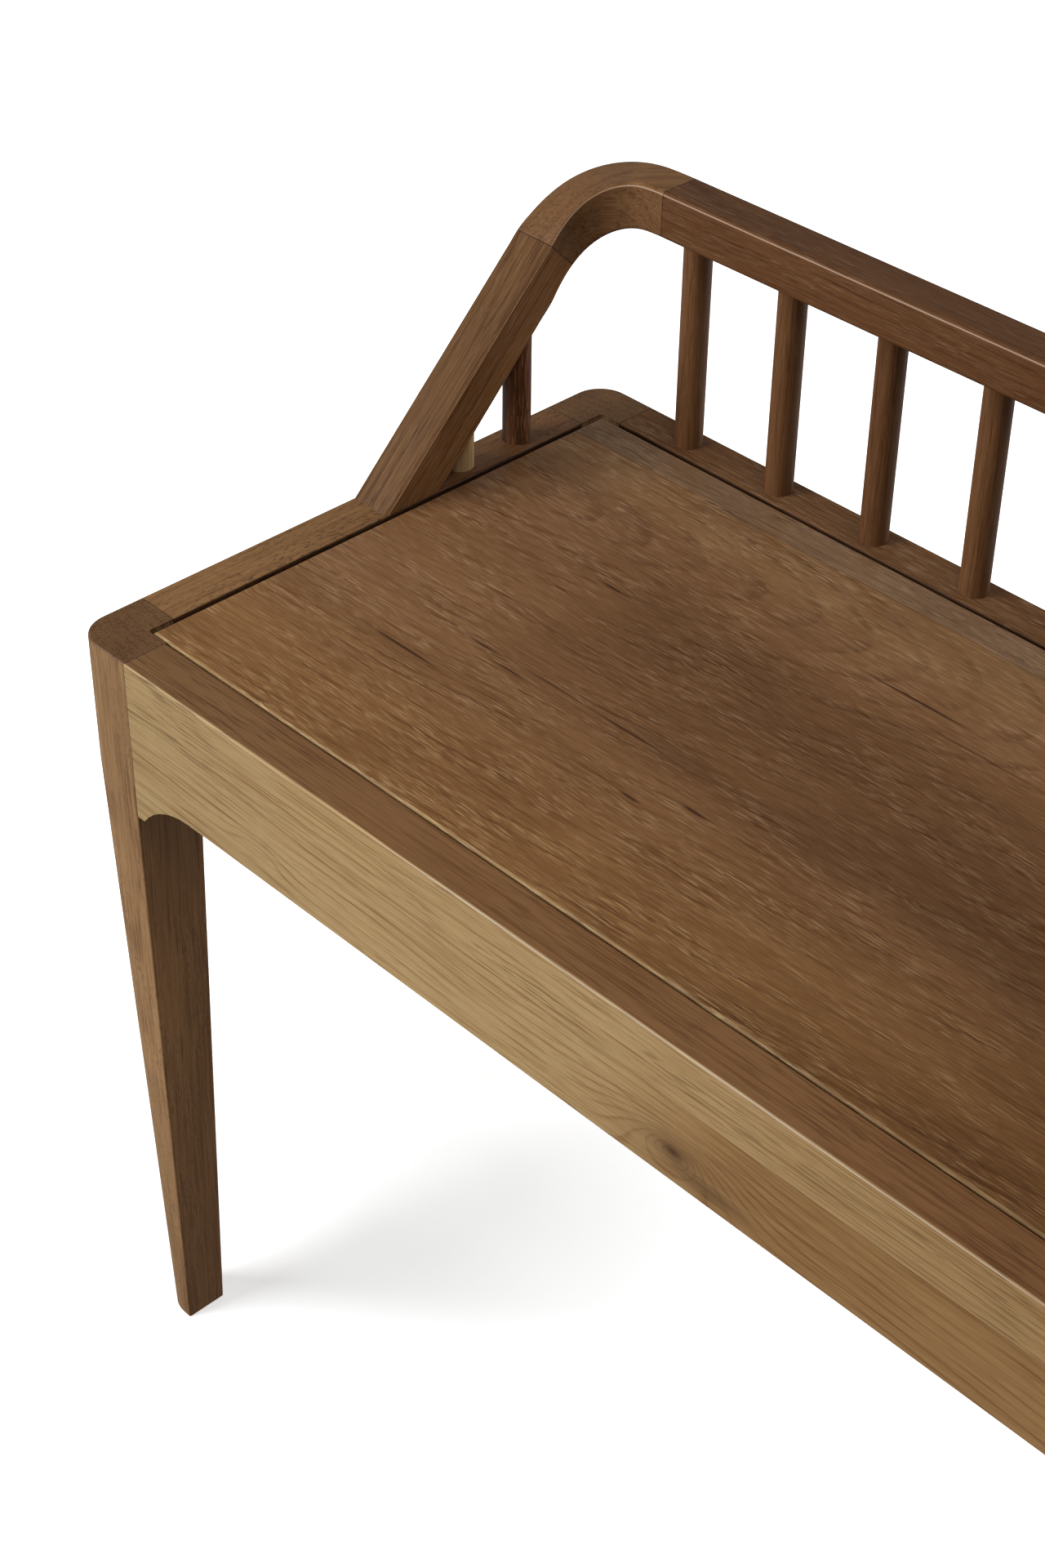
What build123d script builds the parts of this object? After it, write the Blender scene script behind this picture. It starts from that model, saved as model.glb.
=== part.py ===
from build123d import *
from math import cos, pi, radians, sin, sqrt, tan
import os

# A hardwood bench with a low spindle back. Millimetres, +Z up.
# The origin is on the floor under the middle of the bench, the front faces -Y and the length runs along X.

# Overall sizes
LENGTH = 1230.0
DEPTH = 350.0
SEAT_HEIGHT = 460.0
BACK_RISE = 140.0               # top of the back above the seat

# Seat frame rails, flush with the legs' outer faces
RAIL_THICKNESS = 25.0
RAIL_DEPTH = 71.0
FRONT_STRIP_DEPTH = 28.0        # upper strip of the glued-up front rail
HAUNCH_DROP = 18.5              # how far a rail's ends reach below its lower edge
HAUNCH_TOE = 5.5                # level stretch beside the leg
HAUNCH_RADIUS = 44.0
HAUNCH_TOE_RADIUS = 2.5
FRAME_ARRIS = 1.2               # rounding of the frame's top edges

# Legs, straight beside the rails and tapered on all four faces below them
LEG_WIDTH = 38.5
LEG_DEPTH = 39.7
LEG_TAPER = 7.75                # taken off each face at the floor
LEG_CORNER_RADIUS = 17.0        # the outer corner, constant to the floor
LEG_ARRIS = 1.2
FOOT_CHAMFER = 0.8
NOTCH_RADIUS = 2.0              # inner corner of the cut that takes the seat's corner

# Mortise and tenon joints of the seat frame
TENON_THICKNESS = 9.0
TENON_LENGTH = 20.0
TENON_SHOULDER = 12.0           # shoulder above and below the tenon
TENON_CLEARANCE = 0.1
MORTISE_END_GAP = 1.0

# Seat, two boards glued edge to edge
SEAT_THICKNESS = 18.0
SEAT_FRONT_GAP = 1.0
SEAT_BACK_GAP = 2.0
SEAT_END_GAP = 2.5
BACK_BOARD_WIDTH = 20.0
SEAT_ARRIS = 1.6

# Cleats round the inside of the frame and battens under the seat
CLEAT_WIDTH = 18.0
CLEAT_DEPTH = 20.0
CLEAT_END_GAP = 0.5
BATTEN_WIDTH = 40.0
BATTEN_DEPTH = 20.0
BATTEN_SPACING = 400.0

# Countersunk wood screws
SCREW_RADIUS = 2.0
SCREW_HEAD_RADIUS = 4.0
SCREW_HEAD_HEIGHT = 2.4
SCREW_TIP = 4.0
SCREW_LENGTH = 30.0
SCREW_CLEARANCE = 0.1
CLEAT_SCREW_DROP = 6.0          # below the cleat's top
LONG_CLEAT_SCREWS = 4
SHORT_CLEAT_SCREWS = 2
LONG_SEAT_SCREWS = 3
BATTEN_SCREWS = 2
SCREW_MARGIN = 60.0             # from a cleat's or batten's end to its outermost screw

# Back: top rail, bent corners and sloping arms of one square section
SECTION = 25.0
SECTION_ARRIS = 2.5
BEND_RADIUS = 50.0              # run of the corner's bend along each side, seen from above
BEND_PUSH = 4.5                 # how far its middle stands outside a true arc
BEND_SWELL = 3.5                # extra thickness in its middle
BEND_EASE = 65.0                # run from the bend's foot over which the arm's slope fades to level
SEAM_DISTANCE = 7.0             # from the bend's foot to the seam between arm and corner
ARM_ANGLE = 44.7
ARM_FOOT_THICKNESS = 26.5
BEND_STATIONS = 13
BEND_LEADS = 5                  # straight stations beyond each end of the bend, trimmed off again

# Spindles
SPINDLE_DIAMETER = 15.0
SPINDLE_SOCKET = 14.0           # depth of the sockets in the seat frame
TOP_SOCKET = 10.0               # depth of the sockets in the top rail
SPINDLE_CLEARANCE = 0.1
BACK_SPINDLES = 18
BACK_SPINDLE_INSET = 77.0       # from the bench's end to the first axis
SIDE_SPINDLES = 2
SIDE_SPINDLE_INSET = 75.0       # from the back face to the first axis
SIDE_SPINDLE_PITCH = 40.2
ARM_SOCKET = 15.0               # along the spindle's axis, into the arm's underside

# Dowels in the seams of the back
DOWEL_RADIUS = 3.0
DOWEL_LENGTH = 36.0
FOOT_DOWEL_LENGTH = 32.0
FOOT_DOWEL_RISE = 13.0          # how far a foot dowel reaches into the arm
FOOT_DOWEL_SETBACK = 25.0       # from the arm's front edge
DOWEL_CLEARANCE = 0.1
DOWEL_END_GAP = 0.5

# Places worked out from the sizes above
X_END = -LENGTH / 2
Y_FRONT = -DEPTH / 2
Y_BACK = DEPTH / 2
RAIL_BOTTOM = SEAT_HEIGHT - RAIL_DEPTH
SEAT_UNDERSIDE = SEAT_HEIGHT - SEAT_THICKNESS
LONG_RAIL = LENGTH - 2 * LEG_WIDTH
SHORT_RAIL = DEPTH - 2 * LEG_DEPTH
SLOPE = tan(radians(ARM_ANGLE))
ARM_AXIS_DROP = SECTION / 2 / cos(radians(ARM_ANGLE))   # axis below the arm's top face
TOP_AXIS_Z = SEAT_HEIGHT + BACK_RISE - SECTION / 2
BACK_AXIS_Y = Y_BACK - SECTION / 2
SIDE_AXIS_X = X_END + SECTION / 2
SPINDLE_RADIUS = SPINDLE_DIAMETER / 2


def save(node, shape):
    """Writes one sub-part."""
    export_step(shape, f"parts/{node}.step")


def block(x, y, z):
    """A box from three (low, high) pairs."""
    size = [high - low for low, high in (x, y, z)]
    middle = [(high + low) / 2 for low, high in (x, y, z)]
    return Pos(*middle) * Box(*size)


def other_end(shape):
    """The same piece at the right end of the bench."""
    return mirror(shape, about=Plane.YZ)


def other_side(shape):
    """The same piece on the other long side of the bench."""
    return mirror(shape, about=Plane.XZ)


def spread(count, span):
    """Evenly spaced places across a span about zero."""
    if count == 1:
        return [0.0]
    return [span * (i / (count - 1) - 0.5) for i in range(count)]


def upright(radius, bottom, top, x, y):
    """A vertical round bar."""
    return Pos(x, y, (bottom + top) / 2) * Cylinder(radius, top - bottom)


# Screws point along the direction given, with the head flush at the place given
def screw(place, direction, grow=0.0):
    """A countersunk wood screw, or with grow the hole that takes it."""
    with BuildPart() as made:
        with BuildSketch(Plane.XZ):
            with BuildLine():
                Polyline(
                    (0, -grow),
                    (SCREW_HEAD_RADIUS + grow, -grow),
                    (SCREW_RADIUS + grow, SCREW_HEAD_HEIGHT),
                    (SCREW_RADIUS + grow, SCREW_LENGTH - SCREW_TIP),
                    (0, SCREW_LENGTH + grow),
                    close=True,
                )
            make_face()
        revolve(axis=Axis.Z)
    return Plane(origin=place, z_dir=direction) * made.part


def dowel_pair(middle, direction, length):
    """A dowel and the hole for it, both centred on the seam."""
    seat = Plane(origin=middle, z_dir=direction)
    dowel = seat * Cylinder(DOWEL_RADIUS, length)
    hole = seat * Cylinder(DOWEL_RADIUS + DOWEL_CLEARANCE, length + 2 * DOWEL_END_GAP)
    return dowel, hole


# Legs
INWARD = Axis((0, 0, 0), (1, 1, 0))     # from the bench's corner towards its middle


def leg_section(taper, arris, z):
    """A nearly square section with a large round on the bench's outer corner."""
    with BuildSketch() as sketch:
        Rectangle(LEG_WIDTH - 2 * taper, LEG_DEPTH - 2 * taper)
        if arris:
            fillet(sketch.vertices().sort_by(INWARD)[1:], arris)
        fillet(sketch.vertices().sort_by(INWARD)[0], LEG_CORNER_RADIUS)
    return Pos(0, 0, z) * sketch.sketch


def mortise(x, y):
    """The slot for a tenon, both widened by the clearance."""
    low = RAIL_BOTTOM + TENON_SHOULDER - TENON_CLEARANCE
    high = SEAT_HEIGHT - TENON_SHOULDER + TENON_CLEARANCE
    return block(x, y, (low, high))


def front_left_leg():
    head = extrude(leg_section(0, 0, RAIL_BOTTOM), RAIL_DEPTH)
    outer_edges = head.edges().filter_by_position(Axis.Z, SEAT_HEIGHT, SEAT_HEIGHT)
    outer_edges = outer_edges.sort_by(INWARD)[:3]
    head = fillet(outer_edges, FRAME_ARRIS)
    taper = loft(
        [
            leg_section(0, LEG_ARRIS, RAIL_BOTTOM),
            leg_section(LEG_TAPER, LEG_ARRIS, 0),
        ],
        ruled=True,
    )
    taper = chamfer(taper.faces().sort_by(Axis.Z)[0].edges(), FOOT_CHAMFER)
    leg = Pos(X_END + LEG_WIDTH / 2, Y_FRONT + LEG_DEPTH / 2, 0) * (head + taper)

    inner_x = X_END + RAIL_THICKNESS
    inner_y = Y_FRONT + RAIL_THICKNESS
    past = LEG_WIDTH
    notch = block((inner_x, inner_x + past), (inner_y, inner_y + past), (SEAT_UNDERSIDE, SEAT_HEIGHT + past))
    notch = fillet(notch.edges().filter_by(Axis.Z).sort_by(INWARD)[0], NOTCH_RADIUS)
    leg -= notch

    depth = TENON_LENGTH + MORTISE_END_GAP
    wall = (RAIL_THICKNESS - TENON_THICKNESS) / 2 - TENON_CLEARANCE
    slot = TENON_THICKNESS + 2 * TENON_CLEARANCE
    face_x = X_END + LEG_WIDTH
    face_y = Y_FRONT + LEG_DEPTH
    leg -= mortise((face_x - depth, face_x), (Y_FRONT + wall, Y_FRONT + wall + slot))
    leg -= mortise((X_END + wall, X_END + wall + slot), (face_y - depth, face_y))
    return leg


# Rails of the seat frame
def rail(length):
    """A rail along X between its shoulders, outer face at y = 0, top at z = 0, with haunches and tenons."""
    half = length / 2
    low = -RAIL_DEPTH
    toe = low - HAUNCH_DROP
    lean = LEG_TAPER * HAUNCH_DROP / RAIL_BOTTOM      # the toe follows the leg's taper
    run = sqrt(HAUNCH_RADIUS**2 - (HAUNCH_RADIUS - HAUNCH_DROP) ** 2)
    with BuildPart() as made:
        with BuildSketch(Plane.XZ) as profile:
            for side in (-1, 1):
                with BuildLine():
                    inner = side * (half - HAUNCH_TOE)
                    bend = side * (half - HAUNCH_TOE - run)
                    Polyline((bend, low), (0, low), (0, 0), (side * half, 0), (side * half, low),
                             (side * (half + lean), toe), (inner, toe))
                    TangentArc((bend, low), (inner, toe), tangent=(side, 0))
                make_face()
            lowest = [v for v in profile.vertices() if abs(v.Z - toe) < 1e-6]
            toes = [v for v in lowest if abs(v.X) < half - lean]
            fillet(toes, HAUNCH_TOE_RADIUS)
        extrude(amount=-RAIL_THICKNESS)
        top_edges = made.edges().filter_by(Axis.X).filter_by_position(Axis.Z, 0, 0)
        fillet(top_edges, FRAME_ARRIS)
    tenon_y = (RAIL_THICKNESS - TENON_THICKNESS) / 2
    tenons = block(
        (-half - TENON_LENGTH, half + TENON_LENGTH),
        (tenon_y, tenon_y + TENON_THICKNESS),
        (low + TENON_SHOULDER, -TENON_SHOULDER),
    )
    return made.part + tenons


def front_rail():
    return Pos(0, Y_FRONT, SEAT_HEIGHT) * rail(LONG_RAIL)


def left_rail():
    return Pos(X_END, 0, SEAT_HEIGHT) * Rot(0, 0, -90) * rail(SHORT_RAIL)


# Seat and what carries it
SEAT_X = LENGTH / 2 - RAIL_THICKNESS - SEAT_END_GAP
SEAT_FRONT_Y = Y_FRONT + RAIL_THICKNESS + SEAT_FRONT_GAP
SEAT_BACK_Y = Y_BACK - RAIL_THICKNESS - SEAT_BACK_GAP
SEAT_GLUE_Y = SEAT_BACK_Y - BACK_BOARD_WIDTH


def seat_boards():
    """The front and back boards, cut from one panel with its top edges rounded."""
    panel = block((-SEAT_X, SEAT_X), (SEAT_FRONT_Y, SEAT_BACK_Y), (SEAT_UNDERSIDE, SEAT_HEIGHT))
    panel = fillet(panel.faces().sort_by(Axis.Z)[-1].edges(), SEAT_ARRIS)
    seam = Plane(origin=(0, SEAT_GLUE_Y, 0), z_dir=(0, 1, 0))
    return split(panel, seam, keep=Keep.BOTTOM), split(panel, seam, keep=Keep.TOP)


def front_cleat():
    half = LONG_RAIL / 2 - CLEAT_END_GAP
    inner = Y_FRONT + RAIL_THICKNESS
    return block((-half, half), (inner, inner + CLEAT_WIDTH), (SEAT_UNDERSIDE - CLEAT_DEPTH, SEAT_UNDERSIDE))


def left_cleat():
    half = DEPTH / 2 - RAIL_THICKNESS - CLEAT_WIDTH - CLEAT_END_GAP
    inner = X_END + RAIL_THICKNESS
    return block((inner, inner + CLEAT_WIDTH), (-half, half), (SEAT_UNDERSIDE - CLEAT_DEPTH, SEAT_UNDERSIDE))


def left_batten():
    half = DEPTH / 2 - RAIL_THICKNESS - CLEAT_WIDTH - CLEAT_END_GAP
    x = -BATTEN_SPACING / 2
    return block(
        (x - BATTEN_WIDTH / 2, x + BATTEN_WIDTH / 2),
        (-half, half),
        (SEAT_UNDERSIDE - BATTEN_DEPTH, SEAT_UNDERSIDE),
    )


def cleat_screw_places():
    """Level screws through the cleats into the rails: (place, direction)."""
    z = SEAT_UNDERSIDE - CLEAT_SCREW_DROP
    reach = RAIL_THICKNESS + CLEAT_WIDTH
    places = []
    for x in spread(LONG_CLEAT_SCREWS, LONG_RAIL - 2 * SCREW_MARGIN):
        for side in (-1, 1):
            places.append(((x, side * (DEPTH / 2 - reach), z), (0, side, 0)))
    for y in spread(SHORT_CLEAT_SCREWS, SHORT_RAIL - 2 * SCREW_MARGIN):
        for side in (-1, 1):
            places.append(((side * (LENGTH / 2 - reach), y, z), (side, 0, 0)))
    return places


def seat_screw_places():
    """Upright screws through cleats and battens into the seat: (place, direction)."""
    cleat_z = SEAT_UNDERSIDE - CLEAT_DEPTH
    batten_z = SEAT_UNDERSIDE - BATTEN_DEPTH
    middle = RAIL_THICKNESS + CLEAT_WIDTH / 2
    places = []
    for side in (-1, 1):
        for x in spread(LONG_SEAT_SCREWS, LONG_RAIL - 4 * SCREW_MARGIN):
            places.append((x, side * (DEPTH / 2 - middle), cleat_z))
        for y in spread(BATTEN_SCREWS, SHORT_RAIL - 2 * SCREW_MARGIN):
            places.append((side * BATTEN_SPACING / 2, y, batten_z))
        places.append((side * (LENGTH / 2 - middle), 0, cleat_z))
    return [(place, (0, 0, 1)) for place in places]


# Back: the left corner's centre line, level where it meets the top rail and as steep as the arm at its foot
BEND_START_Y = BACK_AXIS_Y - BEND_RADIUS
BEND_START_Z = TOP_AXIS_Z - SLOPE * BEND_EASE / 2
BEND_LENGTH = BEND_RADIUS * pi / 2
BEND_STEP = BEND_LENGTH / (BEND_STATIONS - 1)


def bar_section(x, y, z, turn, width, height):
    """An upright section of the arm or corner, facing along its run."""
    plane = Plane(origin=(x, y, z), x_dir=(cos(turn), -sin(turn), 0), z_dir=(sin(turn), cos(turn), 0))
    return plane * RectangleRounded(width, height, SECTION_ARRIS)


def bend_slope(distance):
    """Slope of the corner's centre line, a plan distance from where the bend starts."""
    return SLOPE * min(max(1 - distance / BEND_EASE, 0), 1)


def bend_height(distance):
    """Height of the centre line there."""
    eased = bend_slope(distance) ** 2 * BEND_EASE / SLOPE / 2
    return TOP_AXIS_Z - eased + SLOPE * min(distance, 0)


def bend_section(distance):
    """The corner's section there."""
    before = min(distance, 0)
    beyond = max(distance - BEND_LENGTH, 0)
    turn = (distance - before - beyond) / BEND_RADIUS
    fuller = sin(2 * turn) ** 2
    reach = BEND_RADIUS + BEND_PUSH * fuller
    x = SIDE_AXIS_X + BEND_RADIUS - reach * cos(turn) + beyond
    y = BEND_START_Y + reach * sin(turn) + before
    height = SECTION * sqrt(1 + bend_slope(distance) ** 2)
    return bar_section(x, y, bend_height(distance), turn, SECTION + BEND_SWELL * fuller, height)


ARM_SEAM = Plane(
    origin=(SIDE_AXIS_X, BEND_START_Y + SEAM_DISTANCE, bend_height(SEAM_DISTANCE)),
    z_dir=(0, cos(radians(ARM_ANGLE)), sin(radians(ARM_ANGLE))),
)
RAIL_SEAM = Plane(
    origin=(SIDE_AXIS_X + BEND_RADIUS, BACK_AXIS_Y, TOP_AXIS_Z),
    x_dir=(0, 1, 0),
    z_dir=(1, 0, 0),
)


def bent_bar():
    """The bend, from one station below it to the top rail: upright sections lofted along the curve."""
    stations = range(-BEND_LEADS, BEND_STATIONS + BEND_LEADS)
    bar = loft([bend_section(BEND_STEP * i) for i in stations])
    bar = split(bar, Plane.XZ.offset(-ARM_END_Y), keep=Keep.BOTTOM)
    return split(bar, RAIL_SEAM, keep=Keep.BOTTOM)


def corner():
    """The bent corner, above the arm's seam."""
    return split(bent_bar(), ARM_SEAM, keep=Keep.TOP)


ARM_TOE_Y = BEND_START_Y - (BEND_START_Z + ARM_AXIS_DROP - SEAT_HEIGHT) / SLOPE
ARM_HEEL_Y = ARM_TOE_Y + ARM_FOOT_THICKNESS / sin(radians(ARM_ANGLE))
ARM_END_Y = BEND_START_Y - BEND_STEP


def arm_top(y):
    """Height of the straight arm's upper face at a place along the bench's depth."""
    return SEAT_HEIGHT + (y - ARM_TOE_Y) * SLOPE


def arm_underside(y):
    """Height of its lower face there."""
    end_z = arm_top(ARM_END_Y) - 2 * ARM_AXIS_DROP
    return SEAT_HEIGHT + (end_z - SEAT_HEIGHT) * (y - ARM_HEEL_Y) / (ARM_END_Y - ARM_HEEL_Y)


def arm():
    """The sloping arm, a little thicker at its foot, cut level on the side rail and square at its head."""
    start_y = ARM_TOE_Y - SECTION
    low, high = arm_underside(start_y), arm_top(start_y)
    foot = bar_section(SIDE_AXIS_X, start_y, (low + high) / 2, 0, SECTION, high - low)
    body = loft([foot, bend_section(-BEND_STEP)], ruled=True) + bent_bar()
    body = split(body, Plane.XY.offset(SEAT_HEIGHT), keep=Keep.TOP)
    return split(body, ARM_SEAM, keep=Keep.BOTTOM)


def top_rail():
    section = RAIL_SEAM * RectangleRounded(SECTION, SECTION, SECTION_ARRIS)
    return extrude(section, -2 * RAIL_SEAM.origin.X)


# Spindles: (node, axis x, axis y, bottom, top)
def back_spindles():
    bottom = SEAT_HEIGHT - SPINDLE_SOCKET
    top = SEAT_HEIGHT + BACK_RISE - SECTION + TOP_SOCKET
    places = spread(BACK_SPINDLES, LENGTH - 2 * BACK_SPINDLE_INSET)
    return [(f"back_spindle_{i + 1:02d}", x, BACK_AXIS_Y, bottom, top) for i, x in enumerate(places)]


def left_spindles():
    rows = []
    for i in range(SIDE_SPINDLES):
        y = Y_BACK - SIDE_SPINDLE_INSET - i * SIDE_SPINDLE_PITCH
        rows.append((f"side_spindle_left_{i + 1}", SIDE_AXIS_X, y,
                     SEAT_HEIGHT - SPINDLE_SOCKET, arm_underside(y) + ARM_SOCKET))
    return rows


def spindle_hole(row):
    _, x, y, bottom, top = row
    return upright(SPINDLE_RADIUS + SPINDLE_CLEARANCE, bottom - DOWEL_END_GAP, top + DOWEL_END_GAP, x, y)


# Assembly: holes first, then the pieces that they are cut from
os.makedirs("parts", exist_ok=True)

back_holes = [spindle_hole(row) for row in back_spindles()]
left_holes = [spindle_hole(row) for row in left_spindles()]
cleat_holes = [screw(place, way, SCREW_CLEARANCE) for place, way in cleat_screw_places()]
seat_holes = [screw(place, way, SCREW_CLEARANCE) for place, way in seat_screw_places()]

# The top rail's dowels lie midway between the spindle sockets and its top
rail_dowel_z = SEAT_HEIGHT + BACK_RISE - (SECTION - TOP_SOCKET) / 2
rail_middle = (RAIL_SEAM.origin.X, BACK_AXIS_Y, rail_dowel_z)
rail_dowel, rail_hole = dowel_pair(rail_middle, RAIL_SEAM.z_dir, DOWEL_LENGTH)
head_dowel, head_hole = dowel_pair(ARM_SEAM.origin, ARM_SEAM.z_dir, DOWEL_LENGTH)
foot_middle = (
    SIDE_AXIS_X,
    ARM_TOE_Y + FOOT_DOWEL_SETBACK,
    SEAT_HEIGHT + FOOT_DOWEL_RISE - FOOT_DOWEL_LENGTH / 2,
)
foot_dowel, foot_hole = dowel_pair(foot_middle, (0, 0, 1), FOOT_DOWEL_LENGTH)

leg = front_left_leg()
save("leg_front_left", leg)
save("leg_front_right", other_end(leg))
save("leg_back_left", other_side(leg))
save("leg_back_right", other_end(other_side(leg)))

whole_front = front_rail() - cleat_holes
glue_line = Plane.XY.offset(SEAT_HEIGHT - FRONT_STRIP_DEPTH)
save("front_rail_upper", split(whole_front, glue_line, keep=Keep.TOP))
save("front_rail_lower", split(whole_front, glue_line, keep=Keep.BOTTOM))
save("back_rail", other_side(front_rail()) - cleat_holes - back_holes)
side_rail = left_rail() - cleat_holes - left_holes - foot_hole
save("side_rail_left", side_rail)
save("side_rail_right", other_end(side_rail))

front_board, back_board = seat_boards()
save("seat_board_main", front_board - seat_holes)
save("seat_board_back", back_board - seat_holes)
save("seat_cleat_front", front_cleat() - cleat_holes - seat_holes)
save("seat_cleat_back", other_side(front_cleat()) - cleat_holes - seat_holes)
save("seat_cleat_left", left_cleat() - cleat_holes - seat_holes)
save("seat_cleat_right", other_end(left_cleat()) - cleat_holes - seat_holes)
save("seat_batten_left", left_batten() - seat_holes)
save("seat_batten_right", other_end(left_batten()) - seat_holes)
save("cleat_screws", Compound([screw(place, way) for place, way in cleat_screw_places()]))
save("seat_screws", Compound([screw(place, way) for place, way in seat_screw_places()]))

save("top_rail", top_rail() - back_holes - rail_hole - other_end(rail_hole))
left_corner = corner() - rail_hole - head_hole
save("top_corner_left", left_corner)
save("top_corner_right", other_end(left_corner))
left_arm = arm() - left_holes - head_hole - foot_hole
save("arm_left", left_arm)
save("arm_right", other_end(left_arm))
dowels = {"top_rail_dowels": rail_dowel, "arm_head_dowels": head_dowel, "arm_foot_dowels": foot_dowel}
for node, dowel in dowels.items():
    save(node, Compound([dowel, other_end(dowel)]))

for row in back_spindles() + left_spindles():
    node, x, y, bottom, top = row
    spindle = upright(SPINDLE_RADIUS, bottom, top, x, y)
    save(node, spindle)
    if "left" in node:
        save(node.replace("left", "right"), other_end(spindle))
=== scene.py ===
# %% [markdown]
# # A hardwood bench with a low spindle back
# The bench itself comes packed from CAD, one mesh for each real piece of wood. This lesson gives those
# pieces the look of oiled open-grained hardwood, lights them like a catalogue picture and puts the camera
# where the photograph was taken. Nothing on the bench is soft or moves, so almost all of the work is in
# the wood.

# %% Load the bench
import math
import bmesh
import bpy
from mathutils import Matrix, Vector

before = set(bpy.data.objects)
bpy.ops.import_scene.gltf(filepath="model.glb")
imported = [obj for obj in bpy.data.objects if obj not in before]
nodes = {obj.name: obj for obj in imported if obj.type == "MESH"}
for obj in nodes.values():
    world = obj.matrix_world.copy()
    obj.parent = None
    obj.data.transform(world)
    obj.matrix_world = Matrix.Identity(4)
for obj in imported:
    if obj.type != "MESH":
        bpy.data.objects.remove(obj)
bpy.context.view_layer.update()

# %% [markdown]
# ## Camera
# The picture was taken from above the right front with a long lens. A camera can be placed by eye, but
# straight edges of the frame gave the distance, the turn round the bench, the tilt down and a very slight
# lean, so these are set as plain numbers. The long side of the picture is 1920 pixels, and the lens is
# written for a 36 mm sensor along that side.

# %% Camera at the photograph's angle
CAMERA_PLACE = (0.2928, -0.7563, 1.1829)
CAMERA_TURN = math.radians(46.03)
CAMERA_TILT = math.radians(37.51)
CAMERA_LEAN = math.radians(0.67)
LENS_MM = 62.53
SENSOR_MM = 36.0

camera_data = bpy.data.cameras.new("camera")
camera_data.lens = LENS_MM
camera_data.sensor_width = SENSOR_MM
camera = bpy.data.objects.new("camera", camera_data)
bpy.context.scene.collection.objects.link(camera)
camera.matrix_world = (
    Matrix.Translation(CAMERA_PLACE)
    @ Matrix.Rotation(CAMERA_TURN, 4, "Z")
    @ Matrix.Rotation(math.pi / 2 - CAMERA_TILT, 4, "X")
    @ Matrix.Rotation(CAMERA_LEAN, 4, "Z")
)
bpy.context.scene.camera = camera
print("camera", camera_data.lens, "mm")

# %% [markdown]
# ## A helper for materials
# Every material below is a graph of nodes. Nodes can be added and linked one line at a time, but a wood
# needs more than fifty of them, and the sense would be lost. This small helper adds a node and feeds its
# inputs in one call, so that the wood recipe reads like a list of steps.


# %% A helper that adds and links nodes
class Graph:
    """Adds nodes to one material; inputs may be plain values or other nodes' outputs."""

    def __init__(self, material):
        self.tree = material.node_tree

    def add(self, kind, inputs=None, **settings):
        made = self.tree.nodes.new(kind)
        for key_name, value in settings.items():
            setattr(made, key_name, value)
        for socket, value in (inputs or {}).items():
            self.feed(made.inputs[socket], value)
        return made

    def feed(self, socket, value):
        if isinstance(value, bpy.types.NodeSocket):
            self.tree.links.new(value, socket)
        else:
            socket.default_value = value

    def math(self, operation, a, b=0.0, clamp=False):
        return self.add("ShaderNodeMath", {0: a, 1: b}, operation=operation, use_clamp=clamp).outputs[0]

    def vector(self, operation, inputs, output=0):
        return self.add("ShaderNodeVectorMath", inputs, operation=operation).outputs[output]

    def mapping(self, vector, place=(0, 0, 0), turn=(0, 0, 0), scale=(1, 1, 1)):
        inputs = {"Vector": vector, "Location": place, "Rotation": turn, "Scale": scale}
        return self.add("ShaderNodeMapping", inputs).outputs[0]

    def noise(self, vector, detail=2.0, roughness=0.5):
        inputs = {"Vector": vector, "Scale": 1.0, "Detail": detail, "Roughness": roughness}
        return self.add("ShaderNodeTexNoise", inputs).outputs["Fac"]

    def ramp(self, fac, stops):
        made = self.add("ShaderNodeValToRGB", {"Fac": fac})
        elements = made.color_ramp.elements
        while len(elements) < len(stops):
            elements.new(0.5)
        for element, (place, colour) in zip(elements, stops):
            element.position = place
            element.color = (*colour, 1.0)
        return made.outputs["Color"]

    def blend(self, factor, first, second, blend_type="MIX"):
        inputs = {"Factor": factor, 6: first, 7: (*second, 1.0)}
        return self.add("ShaderNodeMix", inputs, data_type="RGBA", blend_type=blend_type).outputs[2]

    def between(self, value, low, high):
        """0 below low, 1 above high, smooth in between."""
        inputs = {"Value": value, "From Min": low, "From Max": high}
        return self.add("ShaderNodeMapRange", inputs, interpolation_type="SMOOTHSTEP").outputs[0]


def new_finish(name):
    """A new material, the inputs of its shader and a graph that adds nodes to it."""
    material = bpy.data.materials.new(name)
    material.use_nodes = True
    return material, material.node_tree.nodes["Principled BSDF"].inputs, Graph(material)


print("helper ready")

# %% [markdown]
# ## Floor and backdrop
# The bench stands on a white sweep with only a soft grey shadow beside the foot, under the end of the seat.
# Lamps strong enough to make a floor that white would bleach the wood, so the floor also glows, fully far
# from the bench and less between the two legs of each end, which leaves a shadow there. A white ball round
# everything serves as backdrop from every side. Neither throws light on the bench, so the wood takes its
# light from sky and lamps alone.

# %% Floor
FLOOR_HALF = 30.0
FLOOR_GREY = (0.75, 0.75, 0.75, 1.0)
FLOOR_ROUGHNESS = 0.9
WHITE = (1.0, 1.0, 1.0, 1.0)
BLACK = (0.0, 0.0, 0.0, 1.0)
SHADOW_MIDDLE = (0.555, 0.02, 0.0)    # mirrored to both ends and both sides
SHADOW_CORE = 0.03
SHADOW_REACH = 0.44
GLOW_NEAR = 0.34
GLOW_FAR = 1.0


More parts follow.
